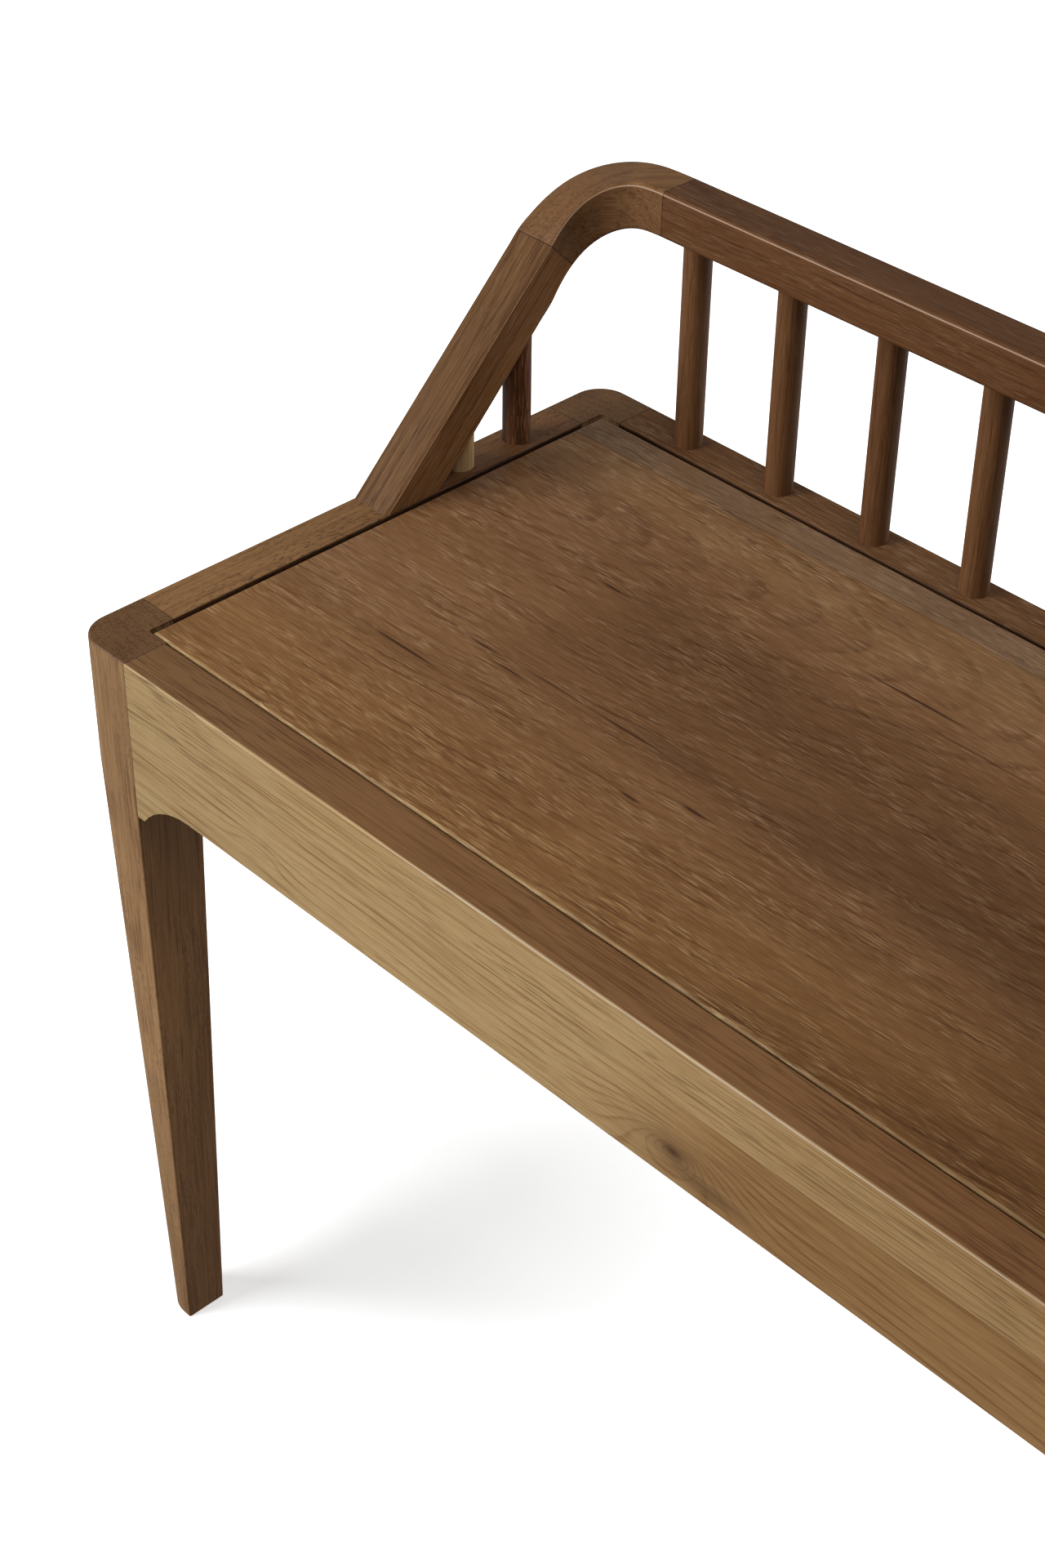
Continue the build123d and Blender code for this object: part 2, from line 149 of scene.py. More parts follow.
def studio_piece(name, shape, material):
    """An object of the studio, which throws no light on the bench."""
    mesh = bpy.data.meshes.new(name)
    shape.to_mesh(mesh)
    shape.free()
    mesh.materials.append(material)
    made = bpy.data.objects.new(name, mesh)
    bpy.context.scene.collection.objects.link(made)
    made.visible_diffuse = False
    made.visible_glossy = False
    return made


pale_floor, pale, pale_graph = new_finish("pale_floor")
pale["Base Color"].default_value = FLOOR_GREY
pale["Roughness"].default_value = FLOOR_ROUGHNESS
pale["Specular IOR Level"].default_value = 0.0
pale["Emission Color"].default_value = WHITE
floor_place = pale_graph.add("ShaderNodeTexCoord").outputs["Object"]
mirrored = pale_graph.vector("ABSOLUTE", {0: floor_place})
away = pale_graph.vector("DISTANCE", {0: mirrored, 1: SHADOW_MIDDLE}, "Value")
fade = {
    "Value": away,
    "From Min": SHADOW_CORE,
    "From Max": SHADOW_REACH,
    "To Min": GLOW_NEAR,
    "To Max": GLOW_FAR,
}
pale_graph.feed(pale["Emission Strength"], pale_graph.add("ShaderNodeMapRange", fade).outputs[0])

floor_shape = bmesh.new()
bmesh.ops.create_grid(floor_shape, x_segments=1, y_segments=1, size=FLOOR_HALF)
floor = studio_piece("floor", floor_shape, pale_floor)
print("floor", FLOOR_HALF * 2, "m wide")

# %% White backdrop
white_backdrop, white, _ = new_finish("white_backdrop")
white["Base Color"].default_value = BLACK
white["Specular IOR Level"].default_value = 0.0
white["Emission Color"].default_value = WHITE
white["Emission Strength"].default_value = 1.0

backdrop_shape = bmesh.new()
bmesh.ops.create_icosphere(backdrop_shape, subdivisions=4, radius=FLOOR_HALF)
backdrop = studio_piece("backdrop", backdrop_shape, white_backdrop)
backdrop.visible_shadow = False
print("backdrop", FLOOR_HALF, "m away")

# %% [markdown]
# ## Light
# In the photograph the spindles are brighter on their left sides and the legs' right faces are dark, so the
# main lamp stands at the front left. It is broad, so that no shadow has an edge. A weak lamp above lights the
# seat, one behind lights the back of the bench, and a white sky fills what is left. A sky alone would be
# simpler, but it lights all sides alike and the bench would look flat.

# %% Sky and lamps
SKY_STRENGTH = 0.27
LAMP_AIM = (-0.3, 0.0, 0.45)
LAMPS = [
    # name, place, size in metres, power in watts
    ("key", (-1.45, -1.65, 1.35), 1.3, 58.0),
    ("top", (0.35, -0.35, 2.0), 0.6, 8.0),
    ("rear", (0.2, 2.5, 0.60), 1.1, 36.0),
]

world = bpy.data.worlds.new("sky")
world.use_nodes = True
sky = world.node_tree.nodes["Background"].inputs
sky["Color"].default_value = WHITE
sky["Strength"].default_value = SKY_STRENGTH
bpy.context.scene.world = world
for lamp_name, lamp_place, lamp_size, lamp_power in LAMPS:
    lamp_data = bpy.data.lights.new(lamp_name, "AREA")
    lamp_data.size = lamp_size
    lamp_data.energy = lamp_power
    lamp = bpy.data.objects.new(lamp_name, lamp_data)
    bpy.context.scene.collection.objects.link(lamp)
    lamp.location = lamp_place
    lamp.visible_camera = False
    lamp.rotation_euler = (Vector(LAMP_AIM) - lamp.location).to_track_quat("-Z", "Y").to_euler()
    print("lamp", lamp_name, lamp_power, "W")
bpy.context.scene.view_settings.view_transform = "Standard"

# %% [markdown]
# ## Wood as a solid
# A board is cut out of a log, so its figure on every face is one solid pattern: growth rings round the pith,
# fibres along the grain, and pores that show as short dashes on the faces and as dots on end grain. A picture
# of wood could be wrapped round each piece, but its lines would break at every edge. A pattern in Object
# coordinates, stretched along the grain, runs through the piece as real grain does, and end grain comes out
# right on the leg tops by itself.
#
# The grain's direction is a turn that brings the fibres onto X, and a slow noise makes them wander. The
# log's middle, the pith, lies off to one side, so that rings cross a face as long lines. A small lean of the
# log against the board makes them run out in points, the flame figure of a flat-sawn board. Knots bend the
# rings round a chosen place and darken it.

# %% Grain and growth rings
GRAIN_ALONG_X = (0.0, 0.0, 0.0)
GRAIN_ALONG_Y = (0.0, 0.0, -math.pi / 2)
GRAIN_ALONG_Z = (0.0, math.pi / 2, 0.0)
WARP_SCALE = (5.0, 14.0, 14.0)
LATE_START = 0.55
LATE_PEAK = 0.93


def wandering_grain(g, place, grain, pith, warp):
    """The place seen along the grain, which drifts sideways a little."""
    straight = g.mapping(place, turn=grain)
    slow = g.mapping(straight, place=pith, scale=WARP_SCALE)
    drift = g.add("ShaderNodeTexNoise", {"Vector": slow, "Scale": 1.0}).outputs["Color"]
    return g.vector("MULTIPLY_ADD", {0: drift, 1: (0.0, warp, warp), 2: straight})


def ring_phase(g, along, place, pith, lean, ring, knots):
    """Where a point lies within its growth ring, from 0 to 1, and how deep it is inside a knot."""
    log_frame = {"Vector": along, "Location": pith, "Rotation": lean}
    log = g.add("ShaderNodeMapping", log_frame, vector_type="TEXTURE")
    parts = g.add("ShaderNodeSeparateXYZ", {0: log.outputs[0]})
    across = g.add("ShaderNodeCombineXYZ", {1: parts.outputs[1], 2: parts.outputs[2]}).outputs[0]
    radius = g.vector("LENGTH", {0: across}, "Value")
    heart = 0.0
    for spot, half_length, half_width, push, dark in knots:
        scale = (1 / half_length, 1 / half_width, 1 / half_width)
        near = g.mapping(place, place=[-p * s for p, s in zip(spot, scale)], scale=scale)
        reach = g.vector("DOT_PRODUCT", {0: near, 1: near}, "Value")
        hill = g.math("EXPONENT", g.math("MULTIPLY", reach, -1.0))
        radius = g.math("ADD", radius, g.math("MULTIPLY", hill, push))
        heart = g.math("ADD", heart, g.math("MULTIPLY", hill, dark))
    return g.math("FRACT", g.math("DIVIDE", radius, ring)), heart


def late_wood(g, phase):
    """The dark dense band at the end of each ring."""
    return g.math("MULTIPLY", g.between(phase, LATE_START, LATE_PEAK), g.between(phase, 1.0, LATE_PEAK))


print("grain ready")

# %% [markdown]
# ## Tints and painted arris highlights
# Dust and glue leave a fine dark line where two pieces meet. A face beside a gap is darkened with painted
# shade, and some faces are painted lighter or darker than others, painted light and shade for how the lamps
# fall on them. Each would need its own mask if it were painted. Here a tint simply multiplies the colour
# beyond one or more planes, which serves for faces, seams, gaps and edges alike.
# Rounded arrises get a pale painted highlight along them, and they are found by the way the surface faces.

# %% Tints, seams and gaps
SEAM_DARK = (0.30, 0.27, 0.27)
SEAM_WIDTH = 0.0006
GAP_SHADE = (0.28, 0.24, 0.22)
GAP_START = 0.0006
GAP_FULL = 0.0002
RIGHT, LEFT = (1, 0, 0), (-1, 0, 0)
BACKWARD, FORWARD = (0, 1, 0), (0, -1, 0)
UP, DOWN = (0, 0, 1), (0, 0, -1)
UP_FORWARD = (0, -math.sqrt(0.5), math.sqrt(0.5))
# colour of the painted highlight along rounded arrises
ARRIS_HIGHLIGHT_COLOUR = (0.300, 0.190, 0.115)
HIGHLIGHT_RISE = (0.28, 0.36)
HIGHLIGHT_FALL = (0.56, 0.48)


def tinted(g, colour, place, tints):
    """Multiplies the colour beyond all the planes of a tint: (rgb, (direction, low, high), ...)."""
    for rgb, *planes in tints:
        mask = 1.0
        for direction, low, high in planes:
            distance = g.vector("DOT_PRODUCT", {0: place, 1: direction}, "Value")
            mask = g.math("MULTIPLY", mask, g.between(distance, low, high))
        colour = g.blend(mask, colour, rgb, "MULTIPLY")
    return colour


def seam(direction, distance, width=SEAM_WIDTH):
    """A dark line where a piece ends at a joint."""
    return (SEAM_DARK, (direction, distance - width, distance - width / 2))


def gap_shade(direction, distance, *planes, start=GAP_START):
    """Painted shade on the face beside a gap, beyond further planes where they are given."""
    return (GAP_SHADE, (direction, distance - start, distance - GAP_FULL), *planes)


def painted_arris_highlight(g, colour, facing):
    """Painted highlight: paler colour on the arrises beside the face that looks along the given direction."""
    normal = g.add("ShaderNodeNewGeometry").outputs["Normal"]
    slant = g.vector("DOT_PRODUCT", {0: normal, 1: facing}, "Value")
    arris = g.math("MULTIPLY", g.between(slant, *HIGHLIGHT_RISE), g.between(slant, *HIGHLIGHT_FALL))
    return g.blend(arris, colour, ARRIS_HIGHLIGHT_COLOUR)


print("tints ready")

# %% [markdown]
# ## The wood recipe
# Every finish below is one call of this recipe, so that all the pieces belong together and differ only in
# colour, pores and figure. The tone runs from dark through middle to light: clouds and fibres raise or lower
# it, late wood and fine dark hairs lower it. One ramp colours it. Pores, which may be paler or darker than
# the wood, lie over that in clusters, then knots, painted highlights along arrises, and tints, some of which
# are painted light and shade. Fibres and pores also roughen the surface a little, as open grain does under
# oil.

# %% Wood recipe
# Scale along and across the grain, detail and roughness of each noise
FIBRES = ((18.0, 850.0, 850.0), 3.0, 0.65)
HAIRS = ((14.0, 900.0, 900.0), 1.0, 0.5)
CLUSTERS = ((18.0, 70.0, 70.0), 2.0, 0.5)
CLOUDS = ((5.0, 22.0, 22.0), 5.0, 0.68)
FINE_PORES = ((85.0, 2100.0, 2100.0), 1.0, 0.5)
SHORT_PORES = ((260.0, 1000.0, 1000.0), 1.0, 0.5)
LINE_PORES = ((55.0, 1250.0, 1250.0), 1.0, 0.5)
# Noise values between which a mark grows from nothing to full strength
HAIR_BAND = (0.52, 0.70)
CLUSTER_BAND = (0.36, 0.66)
PORE_BAND = (0.54, 0.64)
FEWEST_PORES = 0.35
FAINTEST_RINGS = 0.25
HEART_COLOUR = (0.046, 0.018, 0.007)
ROUGHEST = 0.52
ROUGHNESS_RANGE = 0.2
PORE_DEPTH = 0.5
BUMP_STRENGTH = 0.12
BUMP_HEIGHT = 0.0004


def grain_noise(g, along, pith, scale, detail, roughness):
    """Noise drawn out along the grain."""
    return g.noise(g.mapping(along, place=pith, scale=scale), detail, roughness)


def in_clusters(g, value, clusters, least):
    """Weakens a value between the clusters, down to a least share of it."""
    return g.math("MULTIPLY", value, g.math("ADD", least, g.math("MULTIPLY", clusters, 1 - least)))


def raised(g, tone, value, strength):
    """Moves the tone up where a noise is above its middle and down where it is below."""
    return g.math("ADD", tone, g.math("MULTIPLY", g.math("SUBTRACT", value, 0.5), strength))


def wood(name, tones, pores, grain=GRAIN_ALONG_X, pith=(0.0, 0.11, -0.13), lean=(0.0, 0.05, 0.03),
         ring=0.006, ring_depth=0.2, warp=0.010, cloud=1.0, fibre=1.0, hair=0.3, knots=(), tints=(),
         highlight_face=None, gloss=0.2):
    """A hardwood finish.

    Pores are (colour, strength, noise), knots are (place, half length, half width, push, darkness), and
    highlight_face is the direction of the face whose arrises get a painted highlight.
    """
    material, shader, g = new_finish(name)
    place = g.add("ShaderNodeTexCoord").outputs["Object"]
    along = wandering_grain(g, place, grain, pith, warp)
    phase, heart = ring_phase(g, along, place, pith, lean, ring, knots)
    pore_colour, pore_strength, pore_noise = pores

    fibres = grain_noise(g, along, pith, *FIBRES)
    clouds = grain_noise(g, along, pith, *CLOUDS)
    hairs = g.between(grain_noise(g, along, pith, *HAIRS), *HAIR_BAND)
    clusters = g.between(grain_noise(g, along, pith, *CLUSTERS), *CLUSTER_BAND)
    dashes = g.between(grain_noise(g, along, pith, *pore_noise), *PORE_BAND)
    dashes = in_clusters(g, dashes, clusters, FEWEST_PORES)
    late = in_clusters(g, late_wood(g, phase), clusters, FAINTEST_RINGS)

    tone = raised(g, raised(g, 0.5, clouds, cloud), fibres, fibre)
    tone = g.math("SUBTRACT", tone, g.math("MULTIPLY", late, ring_depth))
    tone = g.math("SUBTRACT", tone, g.math("MULTIPLY", hairs, hair), clamp=True)
    dark, middle, light = tones
    colour = g.ramp(tone, [(0.0, dark), (0.5, middle), (1.0, light)])
    colour = g.blend(g.math("MULTIPLY", dashes, pore_strength), colour, pore_colour)
    if knots:
        colour = g.blend(heart, colour, HEART_COLOUR)
    # painted highlight along the arrises beside the given face
    if highlight_face:
        colour = painted_arris_highlight(g, colour, highlight_face)
    g.feed(shader["Base Color"], tinted(g, colour, place, tints))

    smoothest = ROUGHEST - ROUGHNESS_RANGE
    g.feed(shader["Roughness"], g.math("ADD", smoothest, g.math("MULTIPLY", fibres, ROUGHNESS_RANGE)))
    shader["Specular IOR Level"].default_value = gloss
    height = g.math("SUBTRACT", fibres, g.math("MULTIPLY", dashes, PORE_DEPTH))
    relief = {"Height": height, "Strength": BUMP_STRENGTH, "Distance": BUMP_HEIGHT}
    g.feed(shader["Normal"], g.add("ShaderNodeBump", relief).outputs[0])
    return material


print("wood recipe ready")


# %% Tones of a wood, and dressing a piece
def shades(colour, dark=(0.56, 0.48, 0.43), light=(1.45, 1.52, 1.65)):
    """Dark, middle and light tones of one wood: the dark one is redder and the light one paler."""
    return [tuple(d * c for d, c in zip(dark, colour)), colour, tuple(k * c for k, c in zip(light, colour))]


def dress(material, *names):
    """Gives CAD pieces a finish."""
    for name in names:
        mesh = nodes[name].data
        mesh.materials.clear()
        mesh.materials.append(material)
    print(material.name, "on", ", ".join(names))


# %% [markdown]
# ## Seat
# The seat is a wide flat-sawn board, warm mid-brown and oranger along its front, with a darker band along
# its middle, a flame figure behind the left end and a few dark streaks. A narrower and greyer strip is
# glued along its back edge. The front edge is rounded, with a painted highlight along it, and painted shade
# darkens the seat's faces beside the gaps at its ends and front. The streaks are knots without a
# push: long, thin and dark. The bands are tints, because they follow the board and not its rings.

# %% Seat finishes
SEAT_TOP = 0.46
SEAT_GLUE = 0.128
SEAT_GLUE_WIDTH = 0.0004
SEAT_END = 0.5875
SEAT_FRONT = 0.149
END_GAP_START = 0.0008
BELOW_SEAT_TOP = (DOWN, -0.4583, -0.4578)
SEAT_WOOD = (0.168, 0.080, 0.032)
STRIP_WOOD = (0.155, 0.086, 0.042)
SEAT_PORES = ((0.370, 0.230, 0.130), 0.60, FINE_PORES)
STREAK_MARKS = [
    # x, y, half length, half width, darkness
    (-0.306, 0.072, 0.024, 0.0006, 1.8),
    (-0.270, 0.060, 0.030, 0.0006, 0.7),
    (-0.4987, -0.0709, 0.017, 0.0006, 2.5),
    (-0.4735, -0.0425, 0.012, 0.0007, 1.1),
    (-0.4525, -0.0477, 0.012, 0.0007, 1.1),
    (-0.4310, -0.0413, 0.018, 0.0006, 0.8),
    (-0.3805, -0.0414, 0.024, 0.0005, 1.2),
    (-0.4677, 0.0361, 0.007, 0.0007, 1.4),
    (-0.3467, -0.0749, 0.006, 0.0007, 1.4),
    (-0.3202, -0.0619, 0.007, 0.0009, 1.4),
]
ORANGE_FRONT = ((1.12, 1.12, 0.95), (FORWARD, 0.03, 0.13))
DARK_RIGHT = ((0.54, 0.48, 0.42), (RIGHT, -0.42, 0.02), (FORWARD, -0.04, 0.06))
MIDDLE_PLANES = ((RIGHT, -0.51, -0.43), (FORWARD, -0.075, -0.035), (BACKWARD, -0.065, -0.025))
DARK_MIDDLE = ((0.72, 0.68, 0.62), *MIDDLE_PLANES)
PALE_BACK = ((1.11, 1.17, 1.15), (BACKWARD, 0.080, 0.105))
# painted highlight along the seat's rounded front edge
SEAT_EDGE_HIGHLIGHT = ((1.30, 1.60, 1.75), (UP_FORWARD, 0.42950, 0.42985))
GREY_RIGHT = ((0.85, 0.9, 0.95), (RIGHT, -0.5, 0.1))
seat_streaks = [
    ((x, y, SEAT_TOP), half_length, half_width, 0.0, dark)
    for x, y, half_length, half_width, dark in STREAK_MARKS
]
seat_tints = [
    ORANGE_FRONT,
    DARK_RIGHT,
    DARK_MIDDLE,
    PALE_BACK,
    SEAT_EDGE_HIGHLIGHT,
    # painted shade on the seat's faces beside the gaps at its ends and front
    gap_shade(LEFT, SEAT_END, start=END_GAP_START),
    gap_shade(RIGHT, SEAT_END, start=END_GAP_START),
    gap_shade(FORWARD, SEAT_FRONT, BELOW_SEAT_TOP),
    seam(BACKWARD, SEAT_GLUE, SEAT_GLUE_WIDTH),
]
seat_wood = wood(
    "seat_wood", shades(SEAT_WOOD), SEAT_PORES, pith=(-0.4, 0.089, 0.415), lean=(0.0, 0.2, 0.05),
    ring=0.0065, ring_depth=0.32, cloud=1.2, fibre=0.55, hair=0.2, knots=seat_streaks, tints=seat_tints,
    gloss=0.15)
seat_strip_wood = wood(
    "seat_strip_wood", shades(STRIP_WOOD), SEAT_PORES, pith=(0.3, 0.2, -0.1), tints=[GREY_RIGHT])
dress(seat_wood, "seat_board_main")
dress(seat_strip_wood, "seat_board_back")

# %% [markdown]
# ## Front rail
# The front rail is the palest wood on the bench: a straight-grained strip above a board with a knot. Its top
# is darker than its front, painted shade because the lamps light the front more, and part of its front arris
# carries a painted highlight. The two pieces are one colour family but need two finishes, because the strip
# has straight lines of pores and the board has arches and a knot. A knot that pulls the rings inwards makes
# them close round its heart.

# %% Front rail finishes
FRONT_Y = -0.175
FRONT_FACE = 0.1738
LONG_SHOULDER = 0.5765
GLUE_HEIGHT = 0.432
GLUE_WIDTH = 0.0003
FRONT_WOOD = (0.345, 0.226, 0.100)
BOARD_WOOD = (0.355, 0.235, 0.105)
FRONT_DARK = (0.74, 0.66, 0.58)
FRONT_LIGHT = (1.20, 1.24, 1.30)
BOARD_DARK = (0.62, 0.50, 0.42)
FRONT_PORES = ((0.200, 0.118, 0.050), 0.45, FINE_PORES)
STRIP_PORES = ((0.120, 0.064, 0.026), 0.60, LINE_PORES)
TOP_EDGE = (-FRONT_FACE - 0.0006, -FRONT_FACE + 0.0003)
# painted shade: the top face darker than the front, which the lamps light more
SHADED_RAIL_TOP = ((0.50, 0.370, 0.315), (BACKWARD, *TOP_EDGE))
DULL_LEFT = ((0.90, 0.93, 0.95), (LEFT, 0.40, 0.56))
# painted highlight along part of the front rail's front arris
RAIL_EDGE_HIGHLIGHT = ((1.05, 1.50, 3.20), (UP_FORWARD, 0.448485, 0.44852), (RIGHT, -0.42, -0.34))
STRIP_RIGHT = ((0.88, 0.82, 0.78), (RIGHT, -0.30, 0.05))
BOARD_RIGHT = ((0.74, 0.62, 0.52), (RIGHT, -0.28, -0.18))
KNOT_MARKS = [
    # x, z, half length, half width, push on the rings, darkness
    (-0.222, 0.404, 0.036, 0.017, -0.022, 0.10),
    (-0.221, 0.405, 0.012, 0.007, -0.016, 0.30),
    (-0.221, 0.405, 0.005, 0.0028, 0.0, 0.45),
    (-0.200, 0.397, 0.018, 0.0045, 0.0, 0.45),
    (-0.300, 0.386, 0.030, 0.010, -0.008, 0.0),
    (-0.483, 0.405, 0.018, 0.007, -0.008, 0.03),
]
front_knots = [
    ((x, FRONT_Y, z), half_length, half_width, push, dark)
    for x, z, half_length, half_width, push, dark in KNOT_MARKS
]
long_seams = [seam(LEFT, LONG_SHOULDER), seam(RIGHT, LONG_SHOULDER)]
front_tints = [SHADED_RAIL_TOP, DULL_LEFT, *long_seams]
front_strip_wood = wood(
    "front_strip_wood", shades(FRONT_WOOD, FRONT_DARK, FRONT_LIGHT), STRIP_PORES, pith=(0.1, 0.3, -0.02),
    lean=(0.0, 0.0, 0.012), ring=0.004, warp=0.004, hair=0.6, tints=[*front_tints, STRIP_RIGHT, RAIL_EDGE_HIGHLIGHT])
front_board_wood = wood(
    "front_board_wood", shades(BOARD_WOOD, BOARD_DARK, FRONT_LIGHT), FRONT_PORES, pith=(-0.2, -0.12, 0.30),
    lean=(0.0, 0.04, 0.03), ring=0.0052, ring_depth=0.4, hair=0.2, knots=front_knots,
    tints=[*front_tints, BOARD_RIGHT, seam(UP, GLUE_HEIGHT, GLUE_WIDTH)])
dress(front_strip_wood, "front_rail_upper")
dress(front_board_wood, "front_rail_lower")

# %% [markdown]
# ## Back and side rails
# These rails are browner than the front. The side rails run from front to back, so their grain is turned, and
# their pores are short and dark. Where the seat lies beside a rail with a gap, the rail's inner face is dark.
# Left and right rails could share a material, but their inner faces look opposite ways, so each gets its own.

# %% Back and side rail finishes
SHORT_SHOULDER = 0.1353
SIDE_INNER = -0.590
BACK_INNER = -0.150
ABOVE_CLEATS = (UP, 0.442, 0.444)
BACK_RAIL_WOOD = (0.122, 0.056, 0.022)
SIDE_WOOD = (0.202, 0.102, 0.038)
BROWN_PORES = ((0.300, 0.190, 0.110), 0.5, FINE_PORES)
DARK_PORES = ((0.060, 0.028, 0.012), 0.75, SHORT_PORES)
SIDE_REAR = ((0.66, 0.60, 0.60), (BACKWARD, -0.02, 0.06))
ENDS = (("left", RIGHT), ("right", LEFT))
back_rail_wood = wood(
    "back_rail_wood", shades(BACK_RAIL_WOOD), BROWN_PORES, pith=(0.8, 0.1, -0.2),
    # painted shade on the rail's inner face beside the gap
    tints=[gap_shade(FORWARD, BACK_INNER, ABOVE_CLEATS), *long_seams], gloss=0.06)
dress(back_rail_wood, "back_rail")
for end, inward in ENDS:
    side_tints = [
        SIDE_REAR,
        # painted shade on the rail's inner face beside the gap
        gap_shade(inward, SIDE_INNER, ABOVE_CLEATS),
        seam(FORWARD, SHORT_SHOULDER),
        seam(BACKWARD, SHORT_SHOULDER),
    ]
    side_rail_wood = wood(
        f"{end}_side_rail_wood", shades(SIDE_WOOD), DARK_PORES, grain=GRAIN_ALONG_Y, pith=(0.2, 0.1, -0.1),
        tints=side_tints)
    dress(side_rail_wood, f"side_rail_{end}")

# %% [markdown]
# ## Legs
# The legs' grain runs upright, so the pattern is turned onto Z. The leg tops then show end grain, darkened
# with painted shade, as the lamps light the legs' fronts more than their tops. Painted shade also darkens the
# legs towards the floor and on their inner faces, which lie in shade under the seat. The legs taper, so the
# plane of the painted shade on their inner faces leans with them.

# %% Leg finishes
LEG_WOOD = (0.262, 0.147, 0.063)
LEG_PORES = ((0.090, 0.044, 0.019), 0.4, SHORT_PORES)
LEG_LEAN = 0.01992
LEG_INNER = -0.58425
# painted shade: leg tops darker than the front-lit faces
SHADED_LEG_TOPS = ((0.53, 0.46, 0.41), (UP, 0.4588, 0.4594))
DULL_UPPER = ((0.85, 0.86, 0.87), (UP, 0.28, 0.44))
# painted shade: legs darker towards the floor
LOWER_LEG_SHADE = ((0.76, 0.72, 0.66), (DOWN, -0.22, -0.02))
# painted shade on the legs' inner faces, which lie in shade under the seat
INNER_LEG_SHADE = (0.83, 0.70, 0.56)
INNER_LEG_EDGE = (LEG_INNER - 0.0006, LEG_INNER - 0.0001)
for end, inward in ENDS:
    inner_face = (INNER_LEG_SHADE, ((inward[0], 0, -LEG_LEAN), *INNER_LEG_EDGE))
    leg_wood = wood(
        f"{end}_leg_wood", shades(LEG_WOOD), LEG_PORES, grain=GRAIN_ALONG_Z, pith=(0.2, 0.0, 0.60),
        ring=0.005, tints=[SHADED_LEG_TOPS, DULL_UPPER, LOWER_LEG_SHADE, inner_face])
    dress(leg_wood, f"leg_front_{end}", f"leg_back_{end}")

# %% [markdown]
# ## Back
# The top rail, its bent corners and the arms are the darkest brown, with a painted highlight along their
# rounded arrises. The corners' top faces are painted lighter and the arms' inner faces much lighter, painted
# light in place of lamplight. Each arm's grain follows its slope, and a corner is cut from the solid with its
# grain set diagonally. Grain that followed the bend would look like steamed wood, which these corners aren't:
# their figure breaks off at the seams.

# %% Back finishes
RAIL_SEAM = 0.5525
ARM_SEAM = 0.48017
ARM_INNER = -0.5904
BACK_TOP = 0.5992
FACE_FADE = 0.001
ARM_SLOPE = math.radians(44.7)
ALONG_ARM = (0, math.cos(ARM_SLOPE), math.sin(ARM_SLOPE))
ABOVE_ARM = (0, -math.sin(ARM_SLOPE), math.cos(ARM_SLOPE))
GRAIN_ALONG_ARM = (-ARM_SLOPE, 0.0, -math.pi / 2)
RAIL_WOOD = (0.088, 0.036, 0.0127)
ARM_WOOD = (0.110, 0.052, 0.0172)
CORNER_WOOD = (0.134, 0.065, 0.0265)
BACK_PORES = ((0.190, 0.110, 0.060), 0.45, FINE_PORES)
# painted light: the corners' top faces lighter, as lit from above
LIT_CORNER_TOP = ((1.22, 1.20, 1.10), (UP, BACK_TOP - FACE_FADE, BACK_TOP))
# painted light on the arms' inner faces, in place of a fill lamp
LIT_INNER_ARM = (1.58, 1.55, 1.65)
top_rail_wood = wood(
    "top_rail_wood", shades(RAIL_WOOD), BACK_PORES, pith=(0.4, 0.02, -0.2),
    tints=[seam(LEFT, RAIL_SEAM), seam(RIGHT, RAIL_SEAM)], highlight_face=UP, gloss=0.12)
dress(top_rail_wood, "top_rail")
for end, inward in ENDS:
    inner_face = (LIT_INNER_ARM, (inward, ARM_INNER - FACE_FADE, ARM_INNER))
    arm_wood = wood(
        f"{end}_arm_wood", shades(ARM_WOOD), BACK_PORES, grain=GRAIN_ALONG_ARM, pith=(0.1, 0.3, 0.2),
        fibre=1.3, hair=0.5, tints=[inner_face, seam(ALONG_ARM, ARM_SEAM)], highlight_face=ABOVE_ARM, gloss=0.08)
    diagonal = (0.0, 0.0, inward[0] * -math.pi / 4)
    corner_wood = wood(
        f"{end}_corner_wood", shades(CORNER_WOOD), BACK_PORES, grain=diagonal, pith=(-0.3, 0.62, 0.52),
        ring=0.009, ring_depth=0.25, tints=[LIT_CORNER_TOP], highlight_face=UP, gloss=0.12)
    dress(arm_wood, f"arm_{end}")
    dress(corner_wood, f"top_corner_{end}")

# %% [markdown]
# ## Spindles
# Spindles are turned from straight stock, so their grain runs along them, with broad light and dark stripes.
# Under the left arm one spindle is darkened with painted shadow, with its right side painted lighter, and the
# next is given a pale colour, painted light where it stands lit. All the others share one finish, and its
# solid pattern still makes each of them different.

# %% Spindle finishes
SPINDLE_WOOD = (0.108, 0.047, 0.0175)
# painted shadow: this spindle's colour is darkened for the shade it stands in
SHADOWED_SPINDLE = (0.034, 0.015, 0.0072)
# painted light: a pale colour where this spindle stands lit
LIT_SPINDLE = (0.360, 0.230, 0.105)
SPINDLE_PORES = ((0.200, 0.105, 0.050), 0.35, FINE_PORES)
# painted light: the shadowed spindle's right side is lightened again
LIT_SPINDLE_SIDE = ((2.5, 2.15, 1.85), (RIGHT, -0.6030, -0.6000))


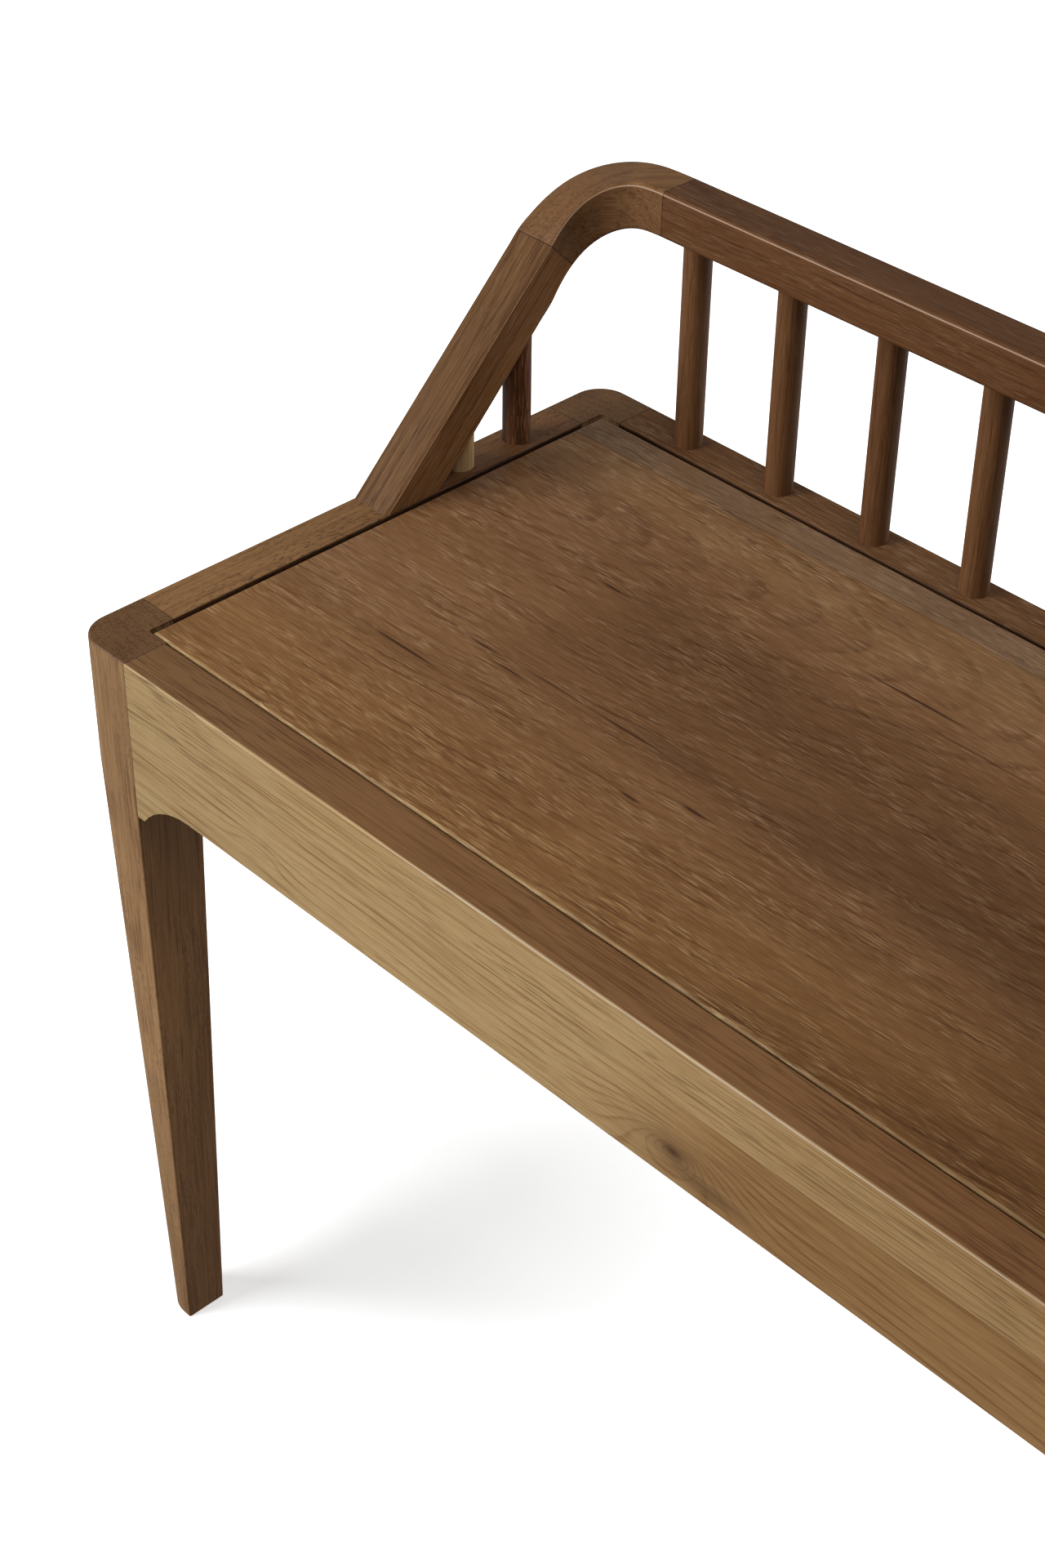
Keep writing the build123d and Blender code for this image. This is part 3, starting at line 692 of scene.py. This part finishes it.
def spindle_finish(name, colour, tints=()):
    """Turned stock with its grain along the spindle."""
    return wood(name, shades(colour), SPINDLE_PORES, grain=GRAIN_ALONG_Z, pith=(0.3, 0.1, 0.4), cloud=1.3,
                tints=tints)


dress(spindle_finish("spindle_wood", SPINDLE_WOOD), *[name for name in nodes if "spindle" in name])
dress(spindle_finish("shadowed_spindle_wood", SHADOWED_SPINDLE, [LIT_SPINDLE_SIDE]), "side_spindle_left_1")
dress(spindle_finish("lit_spindle_wood", LIT_SPINDLE), "side_spindle_left_2")

# %% [markdown]
# ## Hidden pieces
# Cleats, battens and dowels are plain pale wood from the same recipe, and the screws are zinc-plated steel.
# Zinc is never evenly bright, so a fine noise varies its roughness and leaves its colour alone.

# %% Hidden finishes
PALE_WOOD = (0.360, 0.245, 0.130)
PALE_PORES = ((0.200, 0.120, 0.060), 0.5, FINE_PORES)
HIDDEN_WOODS = [
    ("cleat_wood", GRAIN_ALONG_X, ("seat_cleat_front", "seat_cleat_back")),
    ("short_cleat_wood", GRAIN_ALONG_Y,
     ("seat_cleat_left", "seat_cleat_right", "seat_batten_left", "seat_batten_right")),
    ("dowel_wood", GRAIN_ALONG_X, ("top_rail_dowels", "arm_head_dowels", "arm_foot_dowels")),
]
ZINC_COLOUR = (0.60, 0.60, 0.61, 1.0)
ZINC_SCALE = (400.0, 400.0, 400.0)
ZINC_DETAIL = 3.0
ZINC_SMOOTHEST = 0.25
ZINC_RANGE = 0.3
for wood_name, wood_grain, hidden_pieces in HIDDEN_WOODS:
    dress(wood(wood_name, shades(PALE_WOOD), PALE_PORES, grain=wood_grain), *hidden_pieces)

zinc_plate, zinc, zinc_graph = new_finish("zinc_plate")
zinc["Base Color"].default_value = ZINC_COLOUR
zinc["Metallic"].default_value = 1.0
zinc_place = zinc_graph.add("ShaderNodeTexCoord").outputs["Object"]
zinc_cloud = zinc_graph.noise(zinc_graph.mapping(zinc_place, scale=ZINC_SCALE), ZINC_DETAIL)
zinc_rough = zinc_graph.math("ADD", ZINC_SMOOTHEST, zinc_graph.math("MULTIPLY", zinc_cloud, ZINC_RANGE))
zinc_graph.feed(zinc["Roughness"], zinc_rough)
dress(zinc_plate, "cleat_screws", "seat_screws")
